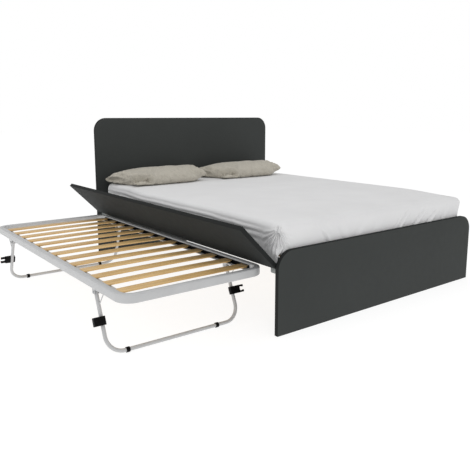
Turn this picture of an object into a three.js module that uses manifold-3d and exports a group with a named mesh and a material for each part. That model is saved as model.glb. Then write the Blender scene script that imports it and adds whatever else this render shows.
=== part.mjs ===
// Trundle bed: a double bed with a low pull-out slatted bed under it.
// Units are millimetres, +Z is up, the floor is Z = 0.
// While it is being built, X = 0 is the side plane where the trundle comes out, X grows towards
// the far side, Y = 0 is the outer face of the footboard and Y grows towards the headboard.
// At the end the whole bed is moved so that the origin is on the floor under its middle.
import * as THREE from 'three';
import { mergeVertices } from 'three/addons/utils/BufferGeometryUtils.js';
import Module from 'manifold-3d';

const wasm = await Module();
wasm.setup();

// ---------------------------------------------------------------- driving dimensions
const GAP = 0.3; // clearance between pieces that touch
const JOIN = 1; // how far the parts of one piece run into each other where they are joined

const BED = { width: 1646, length: 2050 };
const BOARD = { thickness: 22, headHeight: 1026, footHeight: 416, cornerRadius: 95, ease: 1.2 };
const RAIL = { x0: 28, width: 30, z0: 333, height: 40, wall: 2, cornerRadius: 4, boreRadius: 2.5 };
const FAR_PANEL = { thickness: 18, z0: 50, z1: 372 };
const SHOE = { length: 64, height: 37, cornerRadius: 6 };
const CENTRE_LEG = { side: 30, foot: 44, footHeight: 5, y: [690, 1360] };
const BASE_SLAT = { count: 15, width: 70, thickness: 12, x0: 24, x1: 1622, endGap: 40 };
const RIBBON = { width: 25, thickness: 1.6, x: [420, 1210], endGap: 10 };

const MATTRESS = { width: 1600, length: 1996, z1: 546, cornerRadius: 70, edgeRadius: 34 };
const PILLOW = { width: 690, depth: 410, height: 118, y: 1785, x: [410, 1180] };

// The flap's toPanel and toFace run from the hinge axis to its hinged edge and its inner face.
const FLAP = {
  thickness: 22, height: 301, endGap: 1.5, openFromUpright: 45, ease: 1.2, toPanel: 6, toFace: 1.3,
};
const HINGE = {
  x: 23.1, z: 342.5, knuckle: 4, pin: 2.2, bore: 2.5, leaf: 2, length: 90, y: [210, 1025, 1840],
  leafX: 2.6, plateZ: 4.8, neckZ: 5.8, fixedTop: 22, movingTop: 28,
};

const TRUNDLE = {
  x0: -757, x1: 0, y0: 88, y1: 1924, z0: 289,
  railWidth: 30, railHeight: 40, cornerRadius: 75, ease: 6, wall: 1.8,
};
const LEDGE = { width: 35, thickness: 3, z0: 303.5, endGap: 90 };
const HOLDER = { wall: 2.5, shelf: 25, shelfThickness: 3.2, z0: 306.8, z1: 321.5 };
const SLAT = { count: 13, pitch: 132.5, width: 58, thickness: 8, z0: 310.3, roundness: 3.4 };

const LEG = {
  halfSpan: 360, tubeRadius: 9.2, boreRadius: 7.7, bendRadius: 80, headroom: 9, steps: 44,
  pivotZ: 272, barZ: 12.5, pivotFromMiddle: 618.3, footFromMiddle: 726,
};
const LEG_BOLT = { radius: 3, head: 5.5, headThickness: 3, headSides: 6 };
const BRACKET = { plate: 2.5, halfLength: 12, bottomZ: 264, tabLength: 92, toTube: 0.6 };
const STOP_ROD = { radius: 2.5, rise: 62, reach: 48, fromTabEnd: 8, intoTab: 0.6 };
// Each leg's two floor rings, by their distance from the trundle's middle along X.
const FLOOR_RING = { radius: 12.5, length: 18, toTube: 0.6, foot: [-267, 221], head: [-250, 246] };
const DRAIN = { radius: 3, depth: 6 };
const CLIP = {
  fromPivot: 132, height: 40, outward: 19, inward: 3, plainLeft: 42, plainRight: 12,
  forkLeft: 18, forkRight: 40, prongReach: 66, prongThickness: 10, prongDepth: 12, toTube: 0.6,
};
const PILLOW_SQUARENESS = 3.6; // 2 is an ellipse in plan, higher is squarer

const trundleMiddleX = (TRUNDLE.x0 + TRUNDLE.x1) / 2;
const trundleMiddleY = (TRUNDLE.y0 + TRUNDLE.y1) / 2;
const railTopZ = RAIL.z0 + RAIL.height;
const farRailX0 = BED.width - FAR_PANEL.thickness - GAP - RAIL.width;
const boardInnerY = [BOARD.thickness, BED.length - BOARD.thickness];
const legSplay = Math.atan2(LEG.footFromMiddle - LEG.pivotFromMiddle, LEG.pivotZ - LEG.barZ);
const legLength = Math.hypot(LEG.footFromMiddle - LEG.pivotFromMiddle, LEG.pivotZ - LEG.barZ);

// ---------------------------------------------------------------- materials
const LOOKS = {
  board: { color: 0x3c3f3e, roughness: 0.62, metalness: 0.0 },
  greySteel: { color: 0xb4b6b8, roughness: 0.42, metalness: 0.25 },
  darkSteel: { color: 0x858a8a, roughness: 0.5, metalness: 0.3 },
  zinc: { color: 0xa9acae, roughness: 0.35, metalness: 0.9 },
  beech: { color: 0xc9a06a, roughness: 0.5, metalness: 0.0 },
  blackPlastic: { color: 0x0d0d0e, roughness: 0.5, metalness: 0.0 },
  sheet: { color: 0xe4e4e4, roughness: 0.9, metalness: 0.0 },
  pillowcase: { color: 0xb4ae9e, roughness: 0.95, metalness: 0.0 },
  ribbon: { color: 0xdddddd, roughness: 0.9, metalness: 0.0 },
};

function piece(parent, name, look, geometry, x = 0, y = 0, z = 0) {
  const mesh = new THREE.Mesh(geometry, new THREE.MeshStandardMaterial(LOOKS[look]));
  mesh.name = name;
  mesh.position.set(x, y, z);
  parent.add(mesh);
  return mesh;
}

// ---------------------------------------------------------------- joining and cutting
function solid(geometry) {
  const bare = geometry.clone();
  bare.deleteAttribute('normal');
  bare.deleteAttribute('uv');
  const merged = mergeVertices(bare, 1e-4);
  return new wasm.Manifold(new wasm.Mesh({
    numProp: 3,
    vertProperties: new Float32Array(merged.attributes.position.array),
    triVerts: new Uint32Array(merged.index.array),
  }));
}

function geometryOf(manifold) {
  const mesh = manifold.getMesh();
  const geometry = new THREE.BufferGeometry();
  geometry.setAttribute('position', new THREE.BufferAttribute(mesh.vertProperties, 3));
  geometry.setIndex(new THREE.BufferAttribute(mesh.triVerts, 1));
  geometry.computeVertexNormals();
  return geometry;
}

// ---------------------------------------------------------------- basic shapes
function boxBetween(x0, x1, y0, y1, z0, z1) {
  const box = new THREE.BoxGeometry(x1 - x0, y1 - y0, z1 - z0);
  return box.translate((x0 + x1) / 2, (y0 + y1) / 2, (z0 + z1) / 2);
}

function rodAlongX(radius, x0, x1, sides = 16) {
  const rod = new THREE.CylinderGeometry(radius, radius, x1 - x0, sides);
  return rod.rotateZ(Math.PI / 2).translate((x0 + x1) / 2, 0, 0);
}

function rodAlongY(radius, y0, y1, sides = 12) {
  const rod = new THREE.CylinderGeometry(radius, radius, y1 - y0, sides);
  return rod.translate(0, (y0 + y1) / 2, 0);
}

function rodBetween(start, end, radius, sides = 8) {
  const axis = new THREE.Vector3().subVectors(end, start);
  const rod = new THREE.CylinderGeometry(radius, radius, axis.length(), sides);
  rod.translate(0, axis.length() / 2, 0);
  const upright = new THREE.Vector3(0, 1, 0);
  const turn = new THREE.Quaternion().setFromUnitVectors(upright, axis.clone().normalize());
  return rod.applyQuaternion(turn).translate(start.x, start.y, start.z);
}

function roundedRectangle(path, x0, y0, x1, y1, radius) {
  path.moveTo(x0 + radius, y0);
  path.lineTo(x1 - radius, y0);
  path.absarc(x1 - radius, y0 + radius, radius, -Math.PI / 2, 0);
  path.lineTo(x1, y1 - radius);
  path.absarc(x1 - radius, y1 - radius, radius, 0, Math.PI / 2);
  path.lineTo(x0 + radius, y1);
  path.absarc(x0 + radius, y1 - radius, radius, Math.PI / 2, Math.PI);
  path.lineTo(x0, y0 + radius);
  path.absarc(x0 + radius, y0 + radius, radius, Math.PI, 1.5 * Math.PI);
  return path;
}

// An outline drawn in X and Z, given a thickness along +Y.
function uprightSlab(outline, thickness, ease, curveSegments = 6) {
  const slab = new THREE.ExtrudeGeometry(outline, {
    depth: thickness - 2 * ease, bevelEnabled: ease > 0, bevelThickness: ease, bevelSize: ease,
    bevelOffset: -ease, bevelSegments: 2, curveSegments,
  });
  return slab.rotateX(Math.PI / 2).translate(0, thickness - ease, 0);
}

// A straight square tube, open at both ends, running along Y.
function tubeAlongY(width, height, wall, length) {
  const outline = roundedRectangle(new THREE.Shape(), 0, 0, width, height, RAIL.cornerRadius);
  outline.holes.push(roundedRectangle(
    new THREE.Path(), wall, wall, width - wall, height - wall, RAIL.boreRadius,
  ));
  const tube = new THREE.ExtrudeGeometry(outline, { depth: length, bevelEnabled: false, curveSegments: 1 });
  return tube.rotateX(Math.PI / 2).translate(0, length, 0);
}

// ---------------------------------------------------------------- main bed: boards
function boardOutline(height) {
  const outline = new THREE.Shape();
  const radius = BOARD.cornerRadius;
  outline.moveTo(0, 0);
  outline.lineTo(BED.width, 0);
  outline.lineTo(BED.width, height - radius);
  outline.absarc(BED.width - radius, height - radius, radius, 0, Math.PI / 2);
  outline.lineTo(radius, height);
  outline.absarc(radius, height - radius, radius, Math.PI / 2, Math.PI);
  return outline;
}

function addBoards(bed) {
  const head = uprightSlab(boardOutline(BOARD.headHeight), BOARD.thickness, BOARD.ease);
  const foot = uprightSlab(boardOutline(BOARD.footHeight), BOARD.thickness, BOARD.ease);
  piece(bed, 'headboard_panel', 'board', head, 0, boardInnerY[1], 0);
  piece(bed, 'footboard_panel', 'board', foot);
  const farPanel = boxBetween(
    BED.width - FAR_PANEL.thickness, BED.width,
    boardInnerY[0] + GAP, boardInnerY[1] - GAP,
    FAR_PANEL.z0, FAR_PANEL.z1,
  );
  piece(bed, 'far_side_panel', 'board', farPanel);
}

// ---------------------------------------------------------------- main bed: base frame
function addBaseFrame(bed) {
  const y0 = boardInnerY[0] + GAP;
  const length = boardInnerY[1] - boardInnerY[0] - 2 * GAP;
  const sideRail = () => tubeAlongY(RAIL.width, RAIL.height, RAIL.wall, length);
  piece(bed, 'base_rail_trundle_side', 'darkSteel', sideRail(), RAIL.x0, y0, RAIL.z0);
  piece(bed, 'base_rail_far_side', 'darkSteel', sideRail(), farRailX0, y0, RAIL.z0);

  const crossX0 = RAIL.x0 + RAIL.width + GAP;
  const crossLength = farRailX0 - GAP - crossX0;
  const crossRail = () => tubeAlongY(RAIL.width, RAIL.height, RAIL.wall, crossLength).rotateZ(-Math.PI / 2);
  piece(bed, 'base_rail_foot', 'darkSteel', crossRail(), crossX0, y0 + RAIL.width, RAIL.z0);
  piece(bed, 'base_rail_head', 'darkSteel', crossRail(), crossX0, y0 + length, RAIL.z0);

  const beamY0 = y0 + RAIL.width + GAP;
  const beam = tubeAlongY(RAIL.width, RAIL.height, RAIL.wall, length - 2 * (RAIL.width + GAP));
  piece(bed, 'base_centre_beam', 'darkSteel', beam, (BED.width - RAIL.width) / 2, beamY0, RAIL.z0);
}

// A shoe is the steel block on a board that carries the end of a side rail.
function shoe() {
  const outline = new THREE.Shape();
  outline.moveTo(0, 0);
  outline.lineTo(0, -SHOE.height);
  outline.lineTo(SHOE.length - SHOE.cornerRadius, -SHOE.height);
  outline.absarc(
    SHOE.length - SHOE.cornerRadius, -SHOE.height + SHOE.cornerRadius, SHOE.cornerRadius, -Math.PI / 2, 0,
  );
  outline.lineTo(SHOE.length, 0);
  const block = new THREE.ExtrudeGeometry(outline, {
    depth: RAIL.width, bevelEnabled: false, curveSegments: 6,
  });
  // The outline is drawn in Y and Z, and its thickness runs along X.
  return block.rotateX(Math.PI / 2).rotateZ(Math.PI / 2);
}

function addShoes(bed) {
  const sides = [['trundle_side', RAIL.x0], ['far_side', farRailX0]];
  for (const [side, x] of sides) {
    const foot = shoe().translate(x, boardInnerY[0] + GAP, RAIL.z0 - GAP);
    const head = shoe().rotateZ(Math.PI).translate(x + RAIL.width, boardInnerY[1] - GAP, RAIL.z0 - GAP);
    piece(bed, `rail_shoe_foot_${side}`, 'darkSteel', foot);
    piece(bed, `rail_shoe_head_${side}`, 'darkSteel', head);
  }
}

function addCentreLegs(bed) {
  const half = CENTRE_LEG.side / 2;
  const halfFoot = CENTRE_LEG.foot / 2;
  const post = solid(boxBetween(-half, half, -half, half, 0, RAIL.z0 - GAP));
  const foot = solid(boxBetween(-halfFoot, halfFoot, -halfFoot, halfFoot, 0, CENTRE_LEG.footHeight));
  const leg = geometryOf(post.add(foot));
  piece(bed, 'centre_leg_foot_end', 'darkSteel', leg.clone(), BED.width / 2, CENTRE_LEG.y[0], 0);
  piece(bed, 'centre_leg_head_end', 'darkSteel', leg.clone(), BED.width / 2, CENTRE_LEG.y[1], 0);
}

// The base slats are joined by two ribbons, so the whole mat rolls up as one piece.
function addBaseSlats(bed) {
  const z0 = railTopZ + GAP;
  const first = boardInnerY[0] + BASE_SLAT.endGap;
  const last = boardInnerY[1] - BASE_SLAT.endGap - BASE_SLAT.width;
  const pitch = (last - first) / (BASE_SLAT.count - 1);
  const midZ = z0 + BASE_SLAT.thickness / 2;
  let mat = null;
  for (const x of RIBBON.x) {
    const y0 = first + RIBBON.endGap;
    const y1 = last + BASE_SLAT.width - RIBBON.endGap;
    const ribbon = solid(boxBetween(x, x + RIBBON.width, y0, y1, midZ, midZ + RIBBON.thickness));
    mat = mat ? mat.add(ribbon) : ribbon;
  }
  for (let i = 0; i < BASE_SLAT.count; i += 1) {
    const y = first + i * pitch;
    const slat = boxBetween(BASE_SLAT.x0, BASE_SLAT.x1, y, y + BASE_SLAT.width, z0, z0 + BASE_SLAT.thickness);
    mat = mat.add(solid(slat));
  }
  piece(bed, 'base_slat_mat', 'beech', geometryOf(mat));
}

// ---------------------------------------------------------------- main bed: soft goods
function mattress() {
  const z0 = railTopZ + BASE_SLAT.thickness + 2 * GAP;
  const edge = MATTRESS.edgeRadius;
  const outline = roundedRectangle(
    new THREE.Shape(), -MATTRESS.width / 2, -MATTRESS.length / 2, MATTRESS.width / 2, MATTRESS.length / 2,
    MATTRESS.cornerRadius,
  );
  const height = MATTRESS.z1 - z0;
  const block = new THREE.ExtrudeGeometry(outline, {
    depth: height - 2 * edge, bevelEnabled: true, bevelThickness: edge, bevelSize: edge, bevelOffset: -edge,
    bevelSegments: 3, curveSegments: 4,
  });
  return block.translate(0, 0, z0 + edge);
}

// A pillow is a cushion shape: square-ish in plan, lens-shaped in section.
function pillow() {
  const cushion = new THREE.SphereGeometry(1, 24, 10);
  const positions = cushion.attributes.position;
  const power = PILLOW_SQUARENESS;
  const point = new THREE.Vector3();
  for (let i = 0; i < positions.count; i += 1) {
    point.fromBufferAttribute(positions, i);
    const reach = Math.max(Math.hypot(point.x, point.z), 1e-6);
    const across = Math.abs(point.x) / reach;
    const along = Math.abs(point.z) / reach;
    const grow = (across ** power + along ** power + 1e-9) ** (-1 / power);
    const x = point.x * grow;
    const y = -point.z * grow;
    positions.setXYZ(i, x * PILLOW.width / 2, y * PILLOW.depth / 2, point.y * PILLOW.height / 2);
  }
  return cushion;
}

function addSoftGoods(bed) {
  piece(bed, 'mattress', 'sheet', mattress(), BED.width / 2, BED.length / 2, 0);
  const z = MATTRESS.z1 + GAP + PILLOW.height / 2;
  piece(bed, 'pillow_trundle_side', 'pillowcase', pillow(), PILLOW.x[0], PILLOW.y, z);
  piece(bed, 'pillow_far_side', 'pillowcase', pillow(), PILLOW.x[1], PILLOW.y, z);
}

// ---------------------------------------------------------------- flap and its hinges
// Both leaves are drawn with the hinge axis along Y through the origin.
function fixedLeaf() {
  const half = HINGE.length / 2;
  const third = HINGE.length / 6 - GAP;
  const x1 = HINGE.leafX + HINGE.leaf;
  const plate = solid(boxBetween(HINGE.leafX, x1, -half, half, HINGE.plateZ, HINGE.fixedTop));
  const neck = solid(boxBetween(HINGE.leafX, x1, -third, third, 0, HINGE.neckZ));
  const knuckle = solid(rodAlongY(HINGE.knuckle, -third, third));
  const pin = solid(rodAlongY(HINGE.pin, -half - JOIN, half + JOIN));
  return geometryOf(plate.add(neck).add(knuckle).add(pin));
}

function movingLeaf() {
  const half = HINGE.length / 2;
  const third = HINGE.length / 6;
  const thin = HINGE.leaf / 2;
  let leaf = solid(boxBetween(-thin, thin, -half, half, HINGE.plateZ, HINGE.movingTop));
  for (const [y0, y1] of [[-half, -third], [third, half]]) {
    leaf = leaf.add(solid(rodAlongY(HINGE.knuckle, y0, y1)));
    leaf = leaf.add(solid(boxBetween(-thin, thin, y0, y1, 0, HINGE.neckZ)));
  }
  return geometryOf(leaf.subtract(solid(rodAlongY(HINGE.bore, -HINGE.length, HINGE.length))));
}

function addFlap(bed) {
  const flap = new THREE.Group();
  flap.position.set(HINGE.x, 0, HINGE.z);
  flap.rotation.y = -THREE.MathUtils.degToRad(FLAP.openFromUpright);
  bed.add(flap);

  const outline = roundedRectangle(
    new THREE.Shape(), -FLAP.toFace - FLAP.thickness, FLAP.toPanel, -FLAP.toFace,
    FLAP.toPanel + FLAP.height, FLAP.ease,
  );
  const y0 = boardInnerY[0] + FLAP.endGap;
  const length = boardInnerY[1] - boardInnerY[0] - 2 * FLAP.endGap;
  const panel = new THREE.ExtrudeGeometry(outline, { depth: length, bevelEnabled: false, curveSegments: 2 });
  panel.rotateX(Math.PI / 2).translate(0, y0 + length, 0);
  piece(flap, 'side_flap_panel', 'board', panel);
  HINGE.y.forEach((y, i) => {
    piece(flap, `flap_hinge_moving_leaf_${i + 1}`, 'zinc', movingLeaf(), 0, y, 0);
    piece(bed, `flap_hinge_fixed_leaf_${i + 1}`, 'zinc', fixedLeaf(), HINGE.x, y, HINGE.z);
  });
}

// ---------------------------------------------------------------- trundle: frame and slats
function roundedRing(inset, wallInset, z0, height, ease) {
  const outer = TRUNDLE.cornerRadius - inset;
  const reach = TRUNDLE.railWidth - wallInset;
  const outline = roundedRectangle(
    new THREE.Shape(), TRUNDLE.x0 + inset, TRUNDLE.y0 + inset, TRUNDLE.x1 - inset, TRUNDLE.y1 - inset, outer,
  );
  outline.holes.push(roundedRectangle(
    new THREE.Path(), TRUNDLE.x0 + reach, TRUNDLE.y0 + reach, TRUNDLE.x1 - reach, TRUNDLE.y1 - reach,
    TRUNDLE.cornerRadius - reach,
  ));
  const ring = new THREE.ExtrudeGeometry(outline, {
    depth: height - 2 * ease, bevelEnabled: ease > 0, bevelThickness: ease, bevelSize: ease,
    bevelOffset: -ease, bevelSegments: 2, curveSegments: 5,
  });
  return ring.translate(0, 0, z0 + ease);
}

function addTrundleFrame(trundle) {
  const { wall, railWidth, railHeight, z0 } = TRUNDLE;
  let frame = solid(roundedRing(0, 0, z0, railHeight, TRUNDLE.ease));
  const y0 = TRUNDLE.y0 + LEDGE.endGap;
  const y1 = TRUNDLE.y1 - LEDGE.endGap;
  const outerFace = TRUNDLE.x0 + railWidth;
  const innerFace = TRUNDLE.x1 - railWidth;
  const top = LEDGE.z0 + LEDGE.thickness;
  frame = frame.add(solid(boxBetween(outerFace - JOIN, outerFace + LEDGE.width, y0, y1, LEDGE.z0, top)));
  frame = frame.add(solid(boxBetween(innerFace - LEDGE.width, innerFace + JOIN, y0, y1, LEDGE.z0, top)));
  frame = frame.subtract(solid(roundedRing(wall, wall, z0 + wall, railHeight - 2 * wall, 0)));
  // One drain hole through the underside of each side rail.
  for (const x of [TRUNDLE.x0 + railWidth / 2, TRUNDLE.x1 - railWidth / 2]) {
    const drain = new THREE.CylinderGeometry(DRAIN.radius, DRAIN.radius, DRAIN.depth, 8).rotateX(Math.PI / 2);
    frame = frame.subtract(solid(drain.translate(x, trundleMiddleY, z0 + wall / 2)));
  }
  piece(trundle, 'trundle_frame', 'greySteel', geometryOf(frame));
}

// The black holders run along both side rails: a back wall, and a shelf under the slat ends.
function holder(faceX, direction) {
  const y0 = TRUNDLE.y0 + LEDGE.endGap;
  const y1 = TRUNDLE.y1 - LEDGE.endGap;
  const wallX = faceX + direction * GAP;
  const shelfX = wallX + direction * (HOLDER.wall + HOLDER.shelf);
  const backX = wallX + direction * HOLDER.wall;
  const between = (a, b, z0, z1) => solid(boxBetween(Math.min(a, b), Math.max(a, b), y0, y1, z0, z1));
  const back = between(wallX, backX, HOLDER.z0, HOLDER.z1);
  const shelf = between(wallX, shelfX, HOLDER.z0, HOLDER.z0 + HOLDER.shelfThickness);
  return geometryOf(back.add(shelf));
}

function addTrundleSlats(trundle) {
  const outerFace = TRUNDLE.x0 + TRUNDLE.railWidth;
  const innerFace = TRUNDLE.x1 - TRUNDLE.railWidth;
  piece(trundle, 'slat_holder_outer', 'blackPlastic', holder(outerFace, 1));
  piece(trundle, 'slat_holder_inner', 'blackPlastic', holder(innerFace, -1));

  const endGap = HOLDER.wall + 2 * GAP;
  const length = innerFace - outerFace - 2 * endGap;
  const outline = roundedRectangle(
    new THREE.Shape(), -SLAT.width / 2, 0, SLAT.width / 2, SLAT.thickness, SLAT.roundness,
  );
  for (let i = 0; i < SLAT.count; i += 1) {
    const slat = new THREE.ExtrudeGeometry(outline, { depth: length, bevelEnabled: false, curveSegments: 1 });
    // The outline is drawn in Y and Z, and the slat runs along X.
    slat.rotateX(Math.PI / 2).rotateZ(Math.PI / 2);
    const y = trundleMiddleY + (i - (SLAT.count - 1) / 2) * SLAT.pitch;
    const name = `trundle_slat_${String(i + 1).padStart(2, '0')}`;
    piece(trundle, name, 'beech', slat, outerFace + endGap, y, SLAT.z0);
  }
}

// ---------------------------------------------------------------- trundle: folding legs
// The centre line of a leg: down one upright, round a bend, along the floor bar and up again.
class LegRoute extends THREE.Curve {
  constructor() {
    super();
    this.straight = legLength - LEG.bendRadius + LEG.headroom;
    this.arc = LEG.bendRadius * Math.PI / 2;
    this.bar = 2 * (LEG.halfSpan - LEG.bendRadius);
    this.total = 2 * (this.straight + this.arc) + this.bar;
  }

  getPoint(t, target = new THREE.Vector3()) {
    const along = t * this.total;
    const mirrored = Math.min(along, this.total - along);
    const side = along <= this.total / 2 ? -1 : 1;
    const bendX = LEG.halfSpan - LEG.bendRadius;
    const bendZ = LEG.bendRadius - legLength;
    if (mirrored <= this.straight) {
      return target.set(side * LEG.halfSpan, 0, LEG.headroom - mirrored);
    }
    if (mirrored <= this.straight + this.arc) {
      const angle = (mirrored - this.straight) / LEG.bendRadius;
      return target.set(
        side * (bendX + LEG.bendRadius * Math.cos(angle)), 0, bendZ - LEG.bendRadius * Math.sin(angle),
      );
    }
    return target.set(side * (bendX - (mirrored - this.straight - this.arc)), 0, -legLength);
  }
}

function legTube() {
  const outline = new THREE.Shape().absarc(0, 0, LEG.tubeRadius, 0, 2 * Math.PI);
  outline.holes.push(new THREE.Path().absarc(0, 0, LEG.boreRadius, 0, 2 * Math.PI));
  const tube = new THREE.ExtrudeGeometry(outline, {
    steps: LEG.steps, curveSegments: 4, extrudePath: new LegRoute(),
  });
  const past = LEG.halfSpan + 2 * LEG.tubeRadius;
  const boltHole = rodAlongX(LEG_BOLT.radius + GAP, -past, past, 12);
  return geometryOf(solid(tube).subtract(solid(boltHole)));
}

function floorRing() {
  const half = FLOOR_RING.length / 2;
  const inner = LEG.tubeRadius + FLOOR_RING.toTube;
  const profile = [
    new THREE.Vector2(inner, -half), new THREE.Vector2(FLOOR_RING.radius, -half),
    new THREE.Vector2(FLOOR_RING.radius, half), new THREE.Vector2(inner, half),
    new THREE.Vector2(inner, -half),
  ];
  return new THREE.LatheGeometry(profile, 16).rotateZ(Math.PI / 2);
}

// A clip is a moulded block snapped on an upright from its outer side.
function clipBlock(x0, x1) {
  const z0 = -CLIP.fromPivot - CLIP.height / 2;
  const z1 = z0 + CLIP.height;
  return solid(boxBetween(x0, x1, -CLIP.outward, CLIP.inward, z0, z1));
}

function cutForTube(clip) {
  const radius = LEG.tubeRadius + CLIP.toTube;
  const groove = new THREE.CylinderGeometry(radius, radius, 2 * CLIP.height, 16);
  return clip.subtract(solid(groove.rotateX(Math.PI / 2).translate(0, 0, -CLIP.fromPivot)));
}

function plainClip() {
  return geometryOf(cutForTube(clipBlock(-CLIP.plainLeft, CLIP.plainRight)));
}

function forkClip() {
  let clip = clipBlock(-CLIP.forkLeft, CLIP.forkRight);
  const depth0 = -(CLIP.outward + CLIP.prongDepth) / 2;
  const top = -CLIP.fromPivot + CLIP.height / 2;
  const bottom = -CLIP.fromPivot - CLIP.height / 2;
  for (const z0 of [bottom, top - CLIP.prongThickness]) {
    clip = clip.add(solid(boxBetween(
      CLIP.forkRight - JOIN, CLIP.prongReach, depth0, depth0 + CLIP.prongDepth, z0, z0 + CLIP.prongThickness,
    )));
  }
  return geometryOf(cutForTube(clip));
}

function addLeg(trundle, end, pivotY, turn) {
  // Both legs are the same, the far one turned half round; the foot leans outwards.
  const turned = new THREE.Group();
  turned.position.set(trundleMiddleX, pivotY, LEG.pivotZ);
  turned.rotation.z = turn;
  trundle.add(turned);
  const leg = new THREE.Group();
  leg.rotation.x = -legSplay;
  turned.add(leg);
  piece(leg, `${end}_leg_tube`, 'greySteel', legTube());
  const facing = turn === 0 ? 1 : -1;
  const [outerRing, innerRing] = FLOOR_RING[end];
  piece(leg, `${end}_leg_floor_ring_a`, 'blackPlastic', floorRing(), facing * outerRing, 0, -legLength);
  piece(leg, `${end}_leg_floor_ring_b`, 'blackPlastic', floorRing(), facing * innerRing, 0, -legLength);
  piece(leg, `${end}_leg_plain_clip`, 'blackPlastic', plainClip(), -LEG.halfSpan, 0, 0);
  piece(leg, `${end}_leg_fork_clip`, 'blackPlastic', forkClip(), LEG.halfSpan, 0, 0);
}

// A bracket under the rail: two ears either side of the tube, a tab, and the rod that stops the
// leg when it is open. It is drawn about the pivot, with the leg's foot leaning to -Y.
function legBracket() {
  const top = TRUNDLE.z0 - GAP - LEG.pivotZ;
  const bottom = BRACKET.bottomZ - LEG.pivotZ;
  const inside = LEG.tubeRadius + BRACKET.toTube;
  const outside = inside + BRACKET.plate;
  const { halfLength } = BRACKET;
  const tab = boxBetween(-outside, outside, -BRACKET.tabLength, halfLength, top - BRACKET.plate, top);
  let bracket = solid(tab);
  for (const [x0, x1] of [[-outside, -inside], [inside, outside]]) {
    bracket = bracket.add(solid(boxBetween(x0, x1, -halfLength, halfLength, bottom, top)));
  }
  const rodTop = new THREE.Vector3(
    0, STOP_ROD.fromTabEnd - BRACKET.tabLength, top - BRACKET.plate + STOP_ROD.intoTab,
  );
  const rodEnd = new THREE.Vector3(0, rodTop.y + STOP_ROD.reach, rodTop.z - STOP_ROD.rise);
  bracket = bracket.add(solid(rodBetween(rodTop, rodEnd, STOP_ROD.radius)));
  return geometryOf(bracket.subtract(solid(rodAlongX(LEG_BOLT.radius + GAP, -2 * outside, 2 * outside, 12))));
}

function legBolt() {
  const reach = LEG.tubeRadius + BRACKET.toTube + BRACKET.plate + GAP;
  const end = reach + LEG_BOLT.headThickness;
  const shank = solid(rodAlongX(LEG_BOLT.radius, -reach - JOIN, reach + JOIN, 12));
  const head = solid(rodAlongX(LEG_BOLT.head, reach, end, LEG_BOLT.headSides));
  const nut = solid(rodAlongX(LEG_BOLT.head, -end, -reach, LEG_BOLT.headSides));
  return geometryOf(shank.add(head).add(nut));
}

function addLegMountings(trundle, end, pivotY, turn) {
  const sides = [['outer', -LEG.halfSpan], ['inner', LEG.halfSpan]];
  for (const [side, offset] of sides) {
    const place = [trundleMiddleX + offset, pivotY, LEG.pivotZ];
    piece(trundle, `${end}_leg_bracket_${side}`, 'darkSteel', legBracket().rotateZ(turn), ...place);
    piece(trundle, `${end}_leg_bolt_${side}`, 'zinc', legBolt(), ...place);
  }
}

function addTrundle(bed) {
  const trundle = new THREE.Group();
  bed.add(trundle);
  addTrundleFrame(trundle);
  addTrundleSlats(trundle);
  const ends = [
    ['foot', trundleMiddleY - LEG.pivotFromMiddle, 0],
    ['head', trundleMiddleY + LEG.pivotFromMiddle, Math.PI],
  ];
  for (const [end, pivotY, turn] of ends) {
    addLegMountings(trundle, end, pivotY, turn);
    addLeg(trundle, end, pivotY, turn);
  }
}

// ---------------------------------------------------------------- the whole bed
const bed = new THREE.Group();
addBoards(bed);
addBaseFrame(bed);
addShoes(bed);
addCentreLegs(bed);
addBaseSlats(bed);
addSoftGoods(bed);
addFlap(bed);
addTrundle(bed);

// The trundle's outermost prongs and the far side panel end the bed along X.
const outerX = trundleMiddleX - LEG.halfSpan - CLIP.prongReach;
bed.position.set(-(outerX + BED.width) / 2, -BED.length / 2, 0);

const assembly = new THREE.Group();
assembly.add(bed);

export default assembly;
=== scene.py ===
# Trundle bed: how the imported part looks. Metres, +Z up, floor at Z = 0.
# "Bed coordinates" are millimetres from the footboard's outer face (Y) and the trundle side (X).
import math
from types import SimpleNamespace

import bmesh
import bpy
from mathutils import Matrix, Vector, noise


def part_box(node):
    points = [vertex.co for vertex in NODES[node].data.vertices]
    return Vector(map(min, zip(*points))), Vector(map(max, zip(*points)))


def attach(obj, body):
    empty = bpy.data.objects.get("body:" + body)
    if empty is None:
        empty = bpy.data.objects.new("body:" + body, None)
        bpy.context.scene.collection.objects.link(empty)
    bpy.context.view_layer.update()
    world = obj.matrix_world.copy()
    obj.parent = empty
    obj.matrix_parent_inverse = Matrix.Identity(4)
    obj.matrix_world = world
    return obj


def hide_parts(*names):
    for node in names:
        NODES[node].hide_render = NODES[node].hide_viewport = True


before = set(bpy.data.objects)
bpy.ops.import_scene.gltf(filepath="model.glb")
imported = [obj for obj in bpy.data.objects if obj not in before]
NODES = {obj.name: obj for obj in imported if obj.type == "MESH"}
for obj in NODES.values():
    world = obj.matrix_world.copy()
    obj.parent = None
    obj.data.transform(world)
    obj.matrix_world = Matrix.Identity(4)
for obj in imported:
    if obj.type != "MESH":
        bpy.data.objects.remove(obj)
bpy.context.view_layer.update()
MM = 0.001
SHIFT = Vector((-420.75, -1025.0, 0.0))  # from bed coordinates to the part's frame
QUARTER = math.pi / 2

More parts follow.
